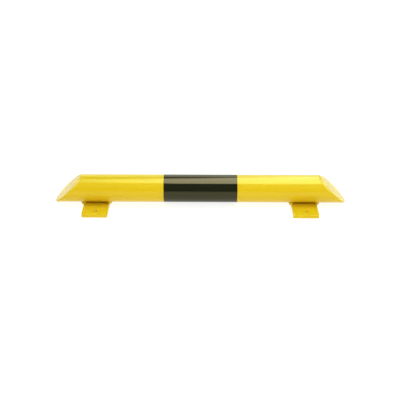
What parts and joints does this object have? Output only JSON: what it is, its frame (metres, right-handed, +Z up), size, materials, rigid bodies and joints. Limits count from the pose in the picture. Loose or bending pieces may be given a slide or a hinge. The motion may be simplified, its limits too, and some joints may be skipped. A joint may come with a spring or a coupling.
{
  "type": "low level protection barrier",
  "caption": "Low floor-mounted steel tube guard with mitred, plated ends, welded on flat bolt-down foot plates, yellow with a black band.",
  "frame": {"origin": "on the floor under the middle of the bar, level with the undersides of the foot plates", "axes": "+X along the bar, to the right as seen from the front; -Y towards the front; +Z up"},
  "size_m": [0.8, 0.16, 0.0862],
  "materials": {
    "yellow_powder_coat": "glossy powder coat with fine orange peel",
    "black_film": "smooth glossy self-adhesive film"
  },
  "bodies": {
    "root": {"tube": "yellow_powder_coat", "end_plate_left": "yellow_powder_coat", "end_plate_right": "yellow_powder_coat", "end_weld_left": "yellow_powder_coat", "end_weld_right": "yellow_powder_coat", "foot_plate_left": "yellow_powder_coat", "foot_plate_right": "yellow_powder_coat", "foot_weld_left_outer": "yellow_powder_coat", "foot_weld_left_inner": "yellow_powder_coat", "foot_weld_right_inner": "yellow_powder_coat", "foot_weld_right_outer": "yellow_powder_coat", "black_band": "black_film"}
  },
  "joints": []
}
